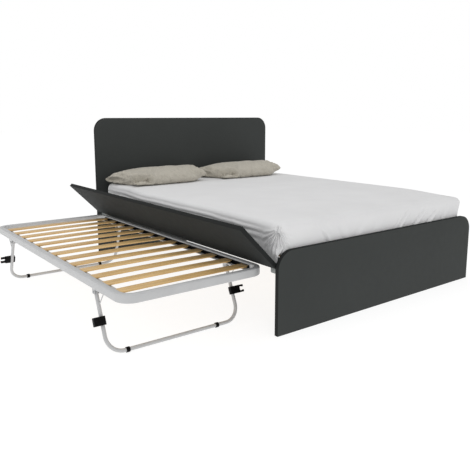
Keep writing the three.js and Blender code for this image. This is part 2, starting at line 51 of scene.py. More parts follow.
# ------------ dimensions, in millimetres
BED = dict(width=1646.0, length=2050.0, headboard=1026.0, footboard=416.0)
BOARD = dict(thickness=22.0, radius=95.0, arris=1.4, ease=1.2)
FLAP = dict(thickness=22.0, height=302.8, to_panel=4.2, to_face=1.3, y0=23.5, y1=2026.5, open=45.0)
HINGE_X, HINGE_Z = 23.1, 342.5
TRUNDLE = dict(x0=-757.0, x1=0.0, y0=88.0, y1=1924.0, z0=289.0, wide=30.0, high=40.0, radius=75.0, ease=6.0)
LEDGE = dict(wide=35.0, lap=1.5, z0=303.5, z1=306.5, from_end=90.0)
SLAT = dict(
    count=13, pitch=132.5, half=29.0, thick=8.0, rounding=3.4, rest=310.3, crown=2.2, from_side=33.1)
# The slats' holders: depths from the rail's inner face, heights, and a cheek's span from its slat's middle.
HOLDER = dict(back=0.3, wall=2.8, z0=306.8, shelf_z=310.0, cheek_x=2.0, cheek_z=309.0, cheek=(29.4, 34.0))
HOLDER_AT = dict(
    outer=dict(side=1, reach=6.0, cheek_top=312.0, wall_top=312.0, shelf=9.0),
    inner=dict(side=-1, reach=16.0, cheek_top=317.0, wall_top=321.5, shelf=16.0))
LEG = dict(
    span=360.0, tube=9.2, bend=80.0, headroom=9.0, pivot_z=272.0, bar_z=12.5, pivot=618.3, foot=726.0)
RING = dict(half=9.0, inner=9.35, outer=12.5, ease=1.5)
RINGS = dict(foot=(-267.0, 221.0), head=(-250.0, 246.0))
CLIP = dict(
    middle=132.0, high=40.0, out=19.0, inside=3.0, plain=(42.0, 12.0), fork=(18.0, 40.0), prong=66.0,
    prong_high=9.6, bevel=0.9)
MID_X = (TRUNDLE["x0"] + TRUNDLE["x1"]) / 2
MID_Y = (TRUNDLE["y0"] + TRUNDLE["y1"]) / 2
LEG_LENGTH = math.hypot(LEG["foot"] - LEG["pivot"], LEG["pivot_z"] - LEG["bar_z"])
SPLAY = math.atan2(LEG["foot"] - LEG["pivot"], LEG["pivot_z"] - LEG["bar_z"])


# ------------ materials
class Look:
    """A node material in the making: a Principled shader, and helpers for the textures that feed it."""

    def __init__(self, name, colour, roughness, metallic=0.0, specular=0.5):
        self.material = bpy.data.materials.new(name)
        self.material.use_nodes = True
        self.tree = self.material.node_tree
        self.shader = self.tree.nodes["Principled BSDF"]
        self.set(Base_Color=(*colour, 1.0), Roughness=roughness, Metallic=metallic)
        self.set(Specular_IOR_Level=specular)
        self.colour = colour
        self.place = self.add("ShaderNodeTexCoord").outputs["Object"]
        self.height = None

    def set(self, node=None, **inputs):
        """Gives sockets of a node, or of the shader, their values. An underscore stands for a space."""
        for key, value in inputs.items():
            (node or self.shader).inputs[key.replace("_", " ")].default_value = value

    def add(self, kind, **inputs):
        node = self.tree.nodes.new(kind)
        self.set(node, **inputs)
        return node

    def link(self, a, b):
        self.tree.links.new(a, b)

    def stretched(self, scale):
        mapping = self.add("ShaderNodeMapping", Scale=scale)
        self.link(self.place, mapping.inputs["Vector"])
        return mapping.outputs["Vector"]

    def noise(self, scale, detail=2.0, vector=None, roughness=0.5, distortion=0.0):
        node = self.add("ShaderNodeTexNoise", Scale=scale, Detail=detail, Roughness=roughness)
        self.set(node, Distortion=distortion)
        self.link(vector or self.place, node.inputs["Vector"])
        return node.outputs["Fac"]

    def wave(self, scale, direction, distortion=0.0):
        node = self.add("ShaderNodeTexWave", Scale=scale, Distortion=distortion, Detail=1.0)
        node.bands_direction = direction
        self.link(self.place, node.inputs["Vector"])
        return node.outputs["Fac"]

    def ramp(self, factor, stops):
        node = self.add("ShaderNodeValToRGB")
        elements = node.color_ramp.elements
        while len(elements) < len(stops):
            elements.new(0.5)
        for element, (position, colour) in zip(elements, stops):
            element.position = position
            element.color = (*colour, 1.0)
        self.link(factor, node.inputs["Fac"])
        return node.outputs["Color"]

    def math(self, operation, a, b):
        node = self.add("ShaderNodeMath")
        node.operation = operation
        for slot, value in ((0, a), (1, b)):
            if isinstance(value, (int, float)):
                node.inputs[slot].default_value = value
            else:
                self.link(value, node.inputs[slot])
        return node.outputs["Value"]

    def tones(self, factor, dark, light):
        """The base colour runs from dark to light times the look's colour."""
        stops = [(0.3, tuple(c * dark for c in self.colour)), (0.7, tuple(c * light for c in self.colour))]
        self.link(self.ramp(factor, stops), self.shader.inputs["Base Color"])

    def rough(self, factor, low, high):
        node = self.add("ShaderNodeMapRange", To_Min=low, To_Max=high)
        self.link(factor, node.inputs["Value"])
        self.link(node.outputs["Result"], self.shader.inputs["Roughness"])

    def multiplied(self, a, b):
        mix = self.add("ShaderNodeMix")
        mix.data_type, mix.blend_type = "RGBA", "MULTIPLY"
        mix.inputs["Factor"].default_value = 1.0
        self.link(a, mix.inputs[6])
        self.link(b, mix.inputs[7])
        return mix.outputs[2]

    def bump(self, factor, depth, strength=1.0):
        """Relief of that depth in metres. A second call adds to the first."""
        node = self.add("ShaderNodeBump", Strength=strength, Distance=depth)
        self.link(factor, node.inputs["Height"])
        if self.height:
            self.link(self.height, node.inputs["Normal"])
        self.height = node.outputs["Normal"]
        self.link(self.height, self.shader.inputs["Normal"])


def board_look(name, colour):
    look = Look(name, colour, 0.75, specular=0.14)
    look.tones(look.noise(2.2, 4.0), 0.96, 1.04)
    look.rough(look.noise(30.0, 3.0), 0.68, 0.84)
    look.bump(look.noise(900.0, 2.0), 0.00012, 0.5)
    look.bump(look.noise(60.0, 2.0), 0.0002, 0.15)
    return look.material


def powder_look(name, colour, roughness=0.42):
    look = Look(name, colour, roughness)
    look.tones(look.noise(9.0, 3.0), 0.95, 1.03)
    look.rough(look.noise(40.0, 3.0), roughness - 0.06, roughness + 0.08)
    look.bump(look.noise(1400.0, 2.0), 0.00010, 0.5)
    look.set(Coat_Weight=0.15, Coat_Roughness=0.25)
    return look.material


def zinc_look():
    look = Look("zinc plated steel", (0.52, 0.53, 0.54), 0.35, metallic=0.9)
    look.tones(look.noise(120.0, 4.0), 0.85, 1.1)
    look.rough(look.noise(300.0, 3.0), 0.28, 0.48)
    look.bump(look.noise(1500.0, 2.0), 0.00008, 0.4)
    return look.material


def plastic_look():
    look = Look("black moulded plastic", (0.0025, 0.0025, 0.0028), 0.55, specular=0.12)
    look.tones(look.noise(60.0, 2.0), 0.8, 1.25)
    look.rough(look.noise(150.0, 2.0), 0.42, 0.6)
    look.bump(look.noise(2500.0, 2.0), 0.00010, 0.6)
    return look.material


def beech_look(name, colour):
    """Lacquered beech with its grain along X: soft streaks, short dark flecks and fine pores."""
    look = Look(name, colour, 0.42, specular=0.4)
    along = look.stretched((1.2, 26.0, 26.0))
    streak = look.noise(2.4, 5.0, along, 0.6, 0.4)
    per_slat = look.noise(1.0, 1.0, look.stretched((0.15, 7.5, 0.0)))
    blend = look.math("ADD", look.math("MULTIPLY", streak, 0.65), look.math("MULTIPLY", per_slat, 0.35))
    r, g, b = colour
    tone = look.ramp(blend, [
        (0.30, (r * 0.66, g * 0.58, b * 0.48)), (0.46, (r * 0.92, g * 0.90, b * 0.85)),
        (0.58, (r * 1.06, g * 1.08, b * 1.10)), (0.72, (r * 1.16, g * 1.22, b * 1.32)),
    ])
    fleck = look.noise(60.0, 2.0, look.stretched((5.0, 60.0, 60.0)))
    dark = look.ramp(fleck, [(0.56, (1.0, 1.0, 1.0)), (0.68, (0.72, 0.64, 0.55))])
    look.link(look.multiplied(tone, dark), look.shader.inputs["Base Color"])
    look.rough(streak, 0.36, 0.52)
    look.bump(look.noise(40.0, 3.0, look.stretched((4.0, 60.0, 60.0))), 0.00015, 0.5)
    look.set(Coat_Weight=0.2, Coat_Roughness=0.2)
    return look.material


def cotton_look(name, colour):
    look = Look(name, colour, 0.86, specular=0.15)
    look.tones(look.noise(5.0, 3.0), 0.975, 1.015)
    look.bump(look.noise(1.0, 2.0, look.stretched((900.0, 900.0, 900.0))), 0.00012, 0.5)
    for threads in "XY":
        look.bump(look.wave(420.0, threads), 0.00008, 0.35)
    look.bump(look.noise(22.0, 4.0, distortion=1.2), 0.0022, 0.30)
    look.set(Sheen_Weight=0.12, Sheen_Roughness=0.5)
    return look.material


def linen_look(name, colour):
    """A coarse linen: slubbed threads both ways, and a mottled tone."""
    look = Look(name, colour, 0.9, specular=0.12)
    warp = look.noise(1.0, 3.0, look.stretched((90.0, 1400.0, 1400.0)), 0.65)
    weft = look.noise(1.0, 3.0, look.stretched((1400.0, 90.0, 600.0)), 0.65)
    weave = look.math("MULTIPLY", look.math("ADD", warp, weft), 0.5)
    mottle = look.noise(55.0, 4.0, None, 0.6)
    blend = look.math("ADD", look.math("MULTIPLY", weave, 0.6), look.math("MULTIPLY", mottle, 0.4))
    look.tones(blend, 0.78, 1.12)
    look.bump(weave, 0.0006, 0.7)
    for threads in "XY":
        look.bump(look.wave(330.0, threads, distortion=2.0), 0.0002, 0.4)
    look.bump(look.noise(36.0, 5.0, distortion=1.6), 0.011, 0.85)
    look.set(Sheen_Weight=0.2, Sheen_Roughness=0.5)
    return look.material


BOARD_FACE = board_look("anthracite board", (0.0485, 0.0525, 0.0510))
BOARD_EDGE = board_look("anthracite edge band", (0.0185, 0.0200, 0.0198))
# The flap is the same anthracite board as the others. Its darker colour is painted shade, for its face that
# leans out and down into shadow.
SHADED_FLAP_FACE = board_look("anthracite board with painted shade on the flap", (0.0260, 0.0285, 0.0280))
TRUNDLE_STEEL = powder_look("light grey powder coat", (0.535, 0.54, 0.545))
# The main bed's base frame uses the trundle's light grey steel at half brightness. This is painted shade for
# where it stands in shadow under the bed, not a darker powder coat.
SHADED_BASE_STEEL = powder_look("grey powder coat", (0.27, 0.285, 0.28))
ZINC = zinc_look()
PLASTIC = plastic_look()
BEECH = beech_look("beech slats", (0.74, 0.49, 0.21))
COTTON = cotton_look("white cotton sheet", (0.80, 0.80, 0.805))
TICKING = cotton_look("mattress ticking", (0.70, 0.70, 0.69))
LINEN = linen_look("beige linen", (0.555, 0.52, 0.445))


# ------------ mesh helpers
def in_scene(name, data):
    piece = bpy.data.objects.new(name, data)
    bpy.context.scene.collection.objects.link(piece)
    return piece


def placed_mesh(name, verts, faces, place, materials):
    """A mesh from points in bed coordinates. place is a 4x4 in millimetres that moves them first."""
    mesh = bpy.data.meshes.new(name)
    mesh.from_pydata([(place @ Vector(v) + SHIFT) * MM for v in verts], [], [f for f, _ in faces])
    for material in materials:
        mesh.materials.append(material)
    mesh.polygons.foreach_set("material_index", [m for _, m in faces])
    work = bmesh.new()
    work.from_mesh(mesh)
    bmesh.ops.recalc_face_normals(work, faces=work.faces)
    work.to_mesh(mesh)
    work.free()
    return mesh


def add_piece(name, verts, faces, materials, body, replaced=(), sharp=35.0, turn=None):
    mesh = placed_mesh(name, verts, faces, turn or Matrix.Identity(4), materials)
    smooth(mesh, sharp)
    return declare(in_scene(name, mesh), body, replaced)


def declare(piece, body, replaced=()):
    if replaced:
        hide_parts(*replaced)
    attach(piece, body)
    return piece


def smooth(mesh, sharp):
    mesh.polygons.foreach_set("use_smooth", [True] * len(mesh.polygons))
    mesh.set_sharp_from_angle(angle=math.radians(sharp))
    mesh.update()


def evaluated_mesh(piece):
    """What a piece's modifiers make of it, as a mesh of its own."""
    return bpy.data.meshes.new_from_object(piece.evaluated_get(bpy.context.evaluated_depsgraph_get()))


def loft(rings, closed=False, side=0, cap=0):
    """Joins rings of as many points each with quads. An open loft is capped at both ends."""
    count, total = len(rings[0]), len(rings)
    verts = [point for ring in rings for point in ring]
    faces = []
    for i in range(total if closed else total - 1):
        a, b = i * count, ((i + 1) % total) * count
        for j in range(count):
            k = (j + 1) % count
            faces.append(((a + j, a + k, b + k, b + j), side))
    if not closed:
        faces.append((tuple(reversed(range(count))), cap))
        faces.append((tuple(range((total - 1) * count, total * count)), cap))
    return verts, faces


def merge(*parts):
    """Several (verts, faces) as one."""
    verts, faces = [], []
    for more_verts, more_faces in parts:
        start = len(verts)
        verts += more_verts
        faces += [(tuple(i + start for i in face), m) for face, m in more_faces]
    return verts, faces


def circle(radius, sides):
    turns = [j / sides * 2 * math.pi for j in range(sides)]
    return [(radius * math.cos(angle), radius * math.sin(angle)) for angle in turns]


def corner_points(x, y, radius, start, segments):
    turns = [start + i / segments * math.pi / 2 for i in range(segments + 1)]
    return [(x + radius * math.cos(angle), y + radius * math.sin(angle)) for angle in turns]


def rounded(x0, y0, x1, y1, radii, inset=0.0, segments=16):
    """A rectangle with its own radius at each corner, from the lower left one round."""
    places = [(x0, y0, 1, 1), (x1, y0, -1, 1), (x1, y1, -1, -1), (x0, y1, 1, -1)]
    points = []
    for i, (x, y, sx, sy) in enumerate(places):
        radius = max(radii[i], inset + 0.2)
        centre = (x + sx * radius, y + sy * radius)
        points += corner_points(*centre, radius - inset, math.pi + i * QUARTER, segments)
    return points


def eased(outline, depth, ease, steps=3):
    """Rings of an outline, given as a function of its inset, through a thickness with eased edges."""
    rings = []
    for i in range(steps + 1):
        angle = i / steps * math.pi / 2
        rings.append((outline(ease * (1 - math.sin(angle))), ease * (1 - math.cos(angle))))
    return rings + [(ring, depth - at) for ring, at in reversed(rings)]


def box_bar(x0, x1, y0, y1, z0, z1, ease=1.0, radius=1.5, segments=3):
    """A bar with eased edges all round, its outline in X and Y."""
    radii = [radius] * 4
    rings = eased(lambda inset: rounded(x0, y0, x1, y1, radii, inset, segments), z1 - z0, ease, 2)
    return loft([[(x, y, z0 + z) for x, y in ring] for ring, z in rings])


def bell(value, width):
    return math.exp(-(value / width) ** 2)


def step(value, start, end):
    """0 before start, 1 after end, and a smooth rise between. start may be the larger of the two."""
    t = min(max((value - start) / (end - start), 0.0), 1.0)
    return t * t * (3 - 2 * t)


def soft_noise(x, y, z):
    return noise.noise(Vector((x, y, z)))


# ------------ boards
def board(name, node, body, face, box, radii, thickness, place, segments=3, turn=None):
    """A board with an edge band: its outline's box and corner radii, and where a point of it goes."""
    rings = eased(lambda inset: rounded(*box, radii, inset, segments), thickness, BOARD["ease"])
    verts, faces = loft([[place(a, b, deep) for a, b in ring] for ring, deep in rings], side=1)
    add_piece(name, verts, faces, [face, BOARD_EDGE], body, [node], turn=turn)


def end_board(name, node, y0, height):
    radii = [BOARD["arris"]] * 2 + [BOARD["radius"]] * 2
    board(
        name, node, "main_bed", BOARD_FACE, (0, 0, BED["width"], height), radii, BOARD["thickness"],
        lambda x, z, deep: (x, y0 + deep, z), segments=22)


def far_panel():
    low, high = [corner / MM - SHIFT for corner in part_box("far_side_panel")]
    board(
        "far_side_board", "far_side_panel", "main_bed", BOARD_FACE, (low.y, low.z, high.y, high.z),
        [BOARD["arris"]] * 4, high.x - low.x, lambda y, z, deep: (low.x + deep, y, z))


def flap_panel():
    """The flap is drawn upright over its hinge, and then leans out to where it stands open."""
    z0 = FLAP["to_panel"]
    hinge = Matrix.Translation((HINGE_X, 0, HINGE_Z))
    lean = Matrix.Rotation(-math.radians(FLAP["open"]), 4, "Y")
    board(
        "side_flap", "side_flap_panel", "flap", SHADED_FLAP_FACE, (FLAP["y0"], z0, FLAP["y1"], z0 + FLAP["height"]),
        [BOARD["arris"]] * 4, FLAP["thickness"], lambda y, z, deep: (-FLAP["to_face"] - deep, y, z),
        turn=hinge @ lean)


# ------------ trundle
def tube_rings():
    """The frame's tube, round its four bent corners."""
    t = TRUNDLE
    half_w, half_h = t["wide"] / 2, t["high"] / 2
    section = rounded(-half_w, -half_h, half_w, half_h, [t["ease"]] * 4, 0.0, 5)
    bend, segments = t["radius"] - half_w, 18
    x0, y0, x1, y1 = t["x0"] + half_w, t["y0"] + half_w, t["x1"] - half_w, t["y1"] - half_w
    rings = []
    for i, (x, y, sx, sy) in enumerate([(x0, y0, 1, 1), (x1, y0, -1, 1), (x1, y1, -1, -1), (x0, y1, 1, -1)]):
        for k in range(segments + 1):
            angle = math.pi + (i + k / segments) * QUARTER
            out_x, out_y = math.cos(angle), math.sin(angle)
            middle_x, middle_y = x + sx * bend + bend * out_x, y + sy * bend + bend * out_y
            rings.append([
                (middle_x + a * out_x, middle_y + a * out_y, t["z0"] + half_h + b) for a, b in section])
    return rings


def ledge_ends():
    return TRUNDLE["y0"] + LEDGE["from_end"], TRUNDLE["y1"] - LEDGE["from_end"]


def trundle_frame():
    """The tube with a ledge inside each long side for the slats."""
    outer, inner = TRUNDLE["x0"] + TRUNDLE["wide"], TRUNDLE["x1"] - TRUNDLE["wide"]
    wide, lap, heights = LEDGE["wide"], LEDGE["lap"], (LEDGE["z0"], LEDGE["z1"])
    verts, faces = merge(
        loft(tube_rings(), closed=True),
        box_bar(outer - lap, outer + wide, *ledge_ends(), *heights, 0.6, 2.0),
        box_bar(inner - wide, inner + lap, *ledge_ends(), *heights, 0.6, 2.0))
    add_piece(
        "trundle_tube_frame", verts, faces, [TRUNDLE_STEEL], "trundle", ["trundle_frame"])


def slat_middle_y(i):
    return MID_Y + (i - (SLAT["count"] - 1) / 2) * SLAT["pitch"]


def slat_holder(which):
    """The black strip in a side rail, with a pair of cheeks that hold each slat's end."""
    h, at = HOLDER, HOLDER_AT[which]
    side = at["side"]
    face_x = TRUNDLE["x0"] + TRUNDLE["wide"] if side > 0 else TRUNDLE["x1"] - TRUNDLE["wide"]

    def bar(a, b, from_y, to_y, z0, z1, ease):
        xa, xb = face_x + side * a, face_x + side * b
        return box_bar(min(xa, xb), max(xa, xb), from_y, to_y, z0, z1, ease, 1.0)

    parts = [
        bar(h["back"], h["wall"], *ledge_ends(), h["z0"], at["wall_top"], 0.5),
        bar(h["back"], at["shelf"], *ledge_ends(), h["z0"], h["shelf_z"], 0.6),
    ]
    for i in range(SLAT["count"]):
        for way in (-1, 1):
            near, far = [slat_middle_y(i) + way * distance for distance in h["cheek"]]
            span = (min(near, far), max(near, far))
            parts.append(bar(h["cheek_x"], at["reach"], *span, h["cheek_z"], at["cheek_top"], 1.0))
    verts, faces = merge(*parts)
    add_piece(
        f"{which}_slat_strip", verts, faces, [PLASTIC], "trundle", [f"slat_holder_{which}"])


def slat_stations(x0, x1, ease=1.0, eased_in=0.3, between=12):
    """Places along a slat, each with the number of its cross-section: small, larger, full and back."""
    long = x1 - x0 - 2 * ease
    stations = [(x0, 0), (x0 + eased_in, 1), (x0 + ease, 2)]
    stations += [(x0 + ease + long * k / between, 2) for k in range(1, between)]
    return stations + [(x1 - ease, 2), (x1 - eased_in, 1), (x1, 0)]


def trundle_slats():
    """Beech slats that bow up a little in their middle."""
    x0, x1 = TRUNDLE["x0"] + SLAT["from_side"], TRUNDLE["x1"] - SLAT["from_side"]
    half, radii = SLAT["half"], [SLAT["rounding"]] * 4
    sections = [rounded(-half, 0, half, SLAT["thick"], radii, inset, 4) for inset in (0.9, 0.25, 0.0)]
    for i in range(SLAT["count"]):
        node = f"trundle_slat_{i + 1:02d}"
        middle = slat_middle_y(i)
        rings = []
        for x, which in slat_stations(x0, x1):
            along = (x - MID_X) / (x1 - x0) * 2
            lift = SLAT["crown"] * (1 - along * along)
            rings.append([(x, middle + y, SLAT["rest"] + z + lift) for y, z in sections[which]])
        verts, faces = loft(rings)
        add_piece(f"beech_{node}", verts, faces, [BEECH], "trundle", [node])


# ------------ folding legs
def leg_place(end):
    """Where a leg's own coordinates lie: X across, Z up the leg, the pivot at the origin."""
    foot = end == "foot"
    pivot = Matrix.Translation((MID_X, MID_Y + (-LEG["pivot"] if foot else LEG["pivot"]), LEG["pivot_z"]))
    return pivot @ Matrix.Rotation(0.0 if foot else math.pi, 4, "Z") @ Matrix.Rotation(-SPLAY, 4, "X")


def leg_route():
    """Points and headings down one upright, along the floor bar and up the other."""
    span, bend, segments = LEG["span"], LEG["bend"], 12
    down = QUARTER * 3
    route = [((-span, LEG["headroom"]), down), ((-span, -LEG_LENGTH * 0.4), down)]
    for k in range(segments + 1):
        angle = math.pi + k / segments * math.pi / 2
        x = -(span - bend) + bend * math.cos(angle)
        z = bend - LEG_LENGTH + bend * math.sin(angle)
        route.append(((x, z), angle + QUARTER))
    mirrored = [((-x, z), -heading) for (x, z), heading in reversed(route)]
    return route + mirrored


def leg_tube(end):
    rings = []
    for (x, z), heading in leg_route():
        across_x, across_z = -math.sin(heading), math.cos(heading)
        rings.append([(x + a * across_x, b, z + a * across_z) for a, b in circle(LEG["tube"], 24)])
    verts, faces = loft(rings)
    add_piece(
        f"{end}_leg_bent_tube", verts, faces, [TRUNDLE_STEEL], f"{end}_leg",
        [f"{end}_leg_tube"], turn=leg_place(end))


def floor_ring(end, letter, middle_x):
    """A black sleeve round the floor bar."""
    radii = [0.5, 0.5, RING["ease"], RING["ease"]]
    profile = rounded(-RING["half"], RING["inner"], RING["half"], RING["outer"], radii, 0.0, 4)
    rings = []
    for across, up in circle(1.0, 32):
        rings.append([(middle_x + x, r * across, -LEG_LENGTH + r * up) for x, r in profile])
    verts, faces = loft(rings, closed=True)
    add_piece(
        f"{end}_floor_sleeve_{letter}", verts, faces, [PLASTIC], f"{end}_leg",
        [f"{end}_leg_floor_ring_{letter}"], turn=leg_place(end))


def plastic_object(name, verts, faces, place):
    return in_scene(name, placed_mesh(name, verts, faces, place, [PLASTIC]))


def front_profile(points, y0, y1):
    """An outline in X and Z given a thickness along Y."""
    return loft([[(x, y0, z) for x, z in points], [(x, y1, z) for x, z in points]])


def prong(x0, x1, z0, z1, hook):
    """One prong of a fork, with a rounded end that hooks a little towards the other prong."""
    inner, outer = (z1, z0) if hook > 0 else (z0, z1)
    points = [
        (x0, outer), (x1 - 4, outer), (x1 - 1.2, outer + hook * 1.2), (x1, outer + hook * 4),
        (x1 - 0.4, inner + hook * 0.6), (x1 - 2.5, inner + hook * 2.4), (x1 - 5.5, inner + hook * 1.2),
        (x1 - 7.5, inner), (x0 + 9, inner), (x0 + 5, inner + hook * 1.2), (x0, inner + hook * 5),
    ]
    layers = [(0.9, 0.0), (0.25, 0.3), (0.0, 1.0), (0.0, 11.0), (0.25, 11.7), (0.9, 12.0)]
    front, mid_x, mid_z = -15.5, (x0 + x1) / 2, (z0 + z1) / 2
    rings = []
    for inset, y in layers:
        kx, kz = 1 - 2 * inset / (x1 - x0), 1 - 2 * inset / abs(z1 - z0)
        rings.append([(mid_x + (x - mid_x) * kx, front + y, mid_z + (z - mid_z) * kz) for x, z in points])
    return loft(rings)


def clip_block(name, middle, left, right, z0, z1, place):
    """The moulded body of a clip, bored for the upright and with its edges bevelled."""
    outline = rounded(middle - left, z0, middle + right, z1, [2.5] * 4, 0.0, 4)
    block = plastic_object(name, *front_profile(outline, -CLIP["out"], CLIP["inside"]), place)
    around = circle(LEG["tube"] + 0.25, 32)
    bore = loft([[(middle + a, b, z) for a, b in around] for z in (z0 - 20, z1 + 20)])
    cutter = plastic_object("bore", *bore, place)
    cut = block.modifiers.new("bored", "BOOLEAN")
    cut.operation, cut.object, cut.solver = "DIFFERENCE", cutter, "EXACT"
    block.data = evaluated_mesh(block)
    block.modifiers.clear()
    bpy.data.objects.remove(cutter)
    bevel = block.modifiers.new("bevelled", "BEVEL")
    bevel.width, bevel.segments = CLIP["bevel"] * MM, 2
    bevel.limit_method, bevel.angle_limit = "ANGLE", math.radians(40)
    block.data = evaluated_mesh(block)
    block.modifiers.clear()
    return block


def clip(end, kind):
    """A moulded block that snaps on an upright. The fork kind has two prongs with small hooked tips."""
    place = leg_place(end)
    z0, z1 = -CLIP["middle"] - CLIP["high"] / 2, -CLIP["middle"] + CLIP["high"] / 2
    middle = -LEG["span"] if kind == "plain" else LEG["span"]
    left, right = CLIP[kind]
    block = clip_block(f"{end}_{kind}_joining_clip", middle, left, right, z0, z1, place)
    # a shallow rib down the outer face, as a moulding has
    rib_x, face = middle - 0.6 * left if kind == "plain" else middle + 0.45 * right, -CLIP["out"]
    details = [box_bar(rib_x - 3, rib_x + 3, face - 1.2, face + 1, z0 + 4, z1 - 4, 0.8, 1.0)]
    if kind == "fork":
        root, tip, high = middle + right - 3, middle + CLIP["prong"], CLIP["prong_high"]
        details.append(prong(root, tip, z0 + 0.4, z0 + 0.4 + high, 1))
        details.append(prong(root, tip, z1 - 0.4 - high, z1 - 0.4, -1))
    extra = plastic_object("extra", *merge(*details), place)
    work = bmesh.new()
    work.from_mesh(block.data)
    work.from_mesh(extra.data)
    work.to_mesh(block.data)
    work.free()
    bpy.data.objects.remove(extra)
    smooth(block.data, 35.0)
    declare(block, f"{end}_leg", [f"{end}_leg_{kind}_clip"])


# ------------ mattress and its sheet
MATTRESS = dict(
    x0=23.0, x1=1623.0, y0=27.0, y1=2023.0, z0=385.6, z1=546.0, plan_radius=70.0, mid_x=823.0, mid_y=1025.0)
CORE = dict(side_gap=44.0, end_gap=14.0, bottom_gap=1.2, bottom_round=14.0, top_gap=12.0, top_round=34.0)
SHEET = dict(top=542.5, edge_radius=38.0, hem_radius=16.0, tuck=55.0, hung_hem=353.5, under=386.1)


def mattress_core():
    """The mattress inside its sheet: rounded along its top and bottom edges."""
    m, core = MATTRESS, CORE
    z0, z1 = m["z0"] + core["bottom_gap"], m["z1"] - core["top_gap"]
    low, high = core["bottom_round"], core["top_round"]
    levels = []
    for angle in [k / 4 * math.pi / 2 for k in range(5)]:
        levels.append((z0 + low * (1 - math.cos(angle)), low * (1 - math.sin(angle))))
    for angle in [(6 - k) / 6 * math.pi / 2 for k in range(7)]:
        levels.append((z1 - high * (1 - math.cos(angle)), high * (1 - math.sin(angle))))
    box = (
        m["x0"] + core["side_gap"], m["y0"] + core["end_gap"],
        m["x1"] - core["side_gap"], m["y1"] - core["end_gap"])
    radii = [m["plan_radius"]] * 4
    verts, faces = loft([[(x, y, z) for x, y in rounded(*box, radii, inset, 10)] for z, inset in levels])
    piece = add_piece(
        "mattress_core", verts, faces, [TICKING], "main_bed", ["mattress"], sharp=60.0)


def along_line(x, z, ends):
    """Signed distance from a crease line on the foot side, and how far along it, 0 to 1."""
    (x0, z0), (x1, z1) = ends
    dx, dz = x1 - x0, z1 - z0
    length = math.hypot(dx, dz)
    t = ((x - x0) * dx + (z - z0) * dz) / (length * length)
    return ((x - x0) * dz - (z - z0) * dx) / length, t


# Pulled creases on the foot side: top end and bottom end in X and Z, depth and width.
CREASES = [
    ((1025, 512), (925, 405), 4.5, 10.0), ((985, 500), (905, 420), 2.0, 9.0),
    ((1186, 502), (1100, 425), 4.0, 10.0), ((1300, 478), (1205, 405), 4.5, 10.0),
    ((316, 470), (362, 405), 4.0, 9.0), ((290, 510), (345, 470), 2.0, 14.0),
    ((420, 520), (470, 410), 2.0, 18.0), ((640, 505), (560, 410), 1.6, 20.0),
    ((760, 515), (700, 405), 1.2, 22.0), ((1420, 505), (1350, 400), 1.6, 16.0),
]


def foot_creases(x, z):
    push = 0.0
    for top, bottom, depth, width in CREASES:
        away, t = along_line(x, z, (top, bottom))
        if -0.4 < t < 1.5 and abs(away) < 5 * width:
            fade = step(t, -0.25, 0.25)
            push += fade * depth * (0.9 * bell(away + width * 1.5, width * 1.1) - bell(away, width * 0.7))
    return 1.9 * push


def side_folds(y, drop):
    """The long folds on the trundle side, by how far below the top edge they run."""
    wander = 5.0 * soft_noise(y / 420.0, 3.1, 0.0) + 2.0 * soft_noise(y / 110.0, 7.7, 0.0)
    fade = step(y, 60, 260) * (0.35 + 0.65 * step(2000 - y, 30, 420))
    gather = 12.0 * (1 - step(y, 60, 700))
    first = 26.0 + wander + gather * 0.6
    push = -3.2 * bell(drop - first, 6.0) + 4.0 * bell(drop - first - 14.0, 9.0)
    push += -3.6 * bell(drop - first - 30.0 - wander * 0.6, 6.0) + 3.0 * bell(drop - first - 46.0, 11.0)
    push += -2.6 * bell(drop - first - 64.0 + wander * 0.8, 8.0)
    return push * fade


# The pleats that fan out from the knot: angle from straight down, angular width, height, start and end.
PLEATS = [
    (-1.30, 0.10, 5.0, 10, 120), (-1.02, 0.08, 6.5, 8, 150), (-0.76, 0.09, 6.5, 14, 150),
    (-0.50, 0.07, 7.5, 10, 160), (-0.27, 0.06, 8.0, 8, 170), (-0.06, 0.055, 9.5, 6, 170),
    (0.16, 0.05, 8.0, 10, 170), (0.37, 0.06, 7.5, 6, 150), (0.60, 0.08, 6.0, 12, 130),
    (0.92, 0.12, 4.0, 14, 110),
]
KNOT_DROP = 30.0


def corner_gather(along, drop):
    """The bunched corner at the foot: a small knot, and sharp pleats that fan out below it.
    along is the distance round the edge from the corner, and grows along the foot side."""
    down, reach = drop - KNOT_DROP, math.hypot(along, drop - KNOT_DROP)
    angle = math.atan2(along, down)  # 0 is straight down
    puff = bell(along, 15.0) * bell(down - 3, 26.0)
    crinkle = soft_noise(along / 6.5, down / 10.0, 2.3) + 0.6 * soft_noise(along / 3.6, down / 5, 8)
    push = puff * (7.0 + 13.0 * crinkle)
    push -= 9.0 * bell(along + 9, 5.0) * bell(down - 2, 14.0)
    push -= 8.0 * bell(along - 10, 5.0) * bell(down + 4, 12.0)
    for middle, wide, height, start, end in PLEATS:
        wander = 0.05 * soft_noise(reach / 28.0, middle * 7.0, 1.0)
        away = angle - middle - wander
        if abs(away) < 4 * wide:
            fade = step(reach, start, start + 16) * (1 - step(reach, 0.45 * end, end))
            push += fade * height * (bell(away, wide) - 0.8 * bell(away - 1.6 * wide, 0.9 * wide))
    return push


def edge_lines(half, fine_low, fine_high, wide):
    """Grid positions from -half to half that are close together near both ends and wider between."""
    near, nearly = 330, 400
    points, at = [], -half
    while at < half - 1e-6:
        points.append(at)
        from_low, from_high = at + half, half - at
        size = wide
        if from_low < near:
            size = fine_low
        elif from_low < nearly:
            size = (fine_low + wide) / 2
        if from_high < near:
            size = min(size, fine_high)
        at += size
    points.append(half)
    return points


def side_lengths():
    """How far the sheet travels on the flat rim, over the edge, down the side and round the hem."""
    edge, hem = SHEET["edge_radius"], SHEET["hem_radius"]
    side = SHEET["top"] - edge - SHEET["under"] - hem
    return MATTRESS["plan_radius"] - edge, edge * QUARTER, side, hem * QUARTER


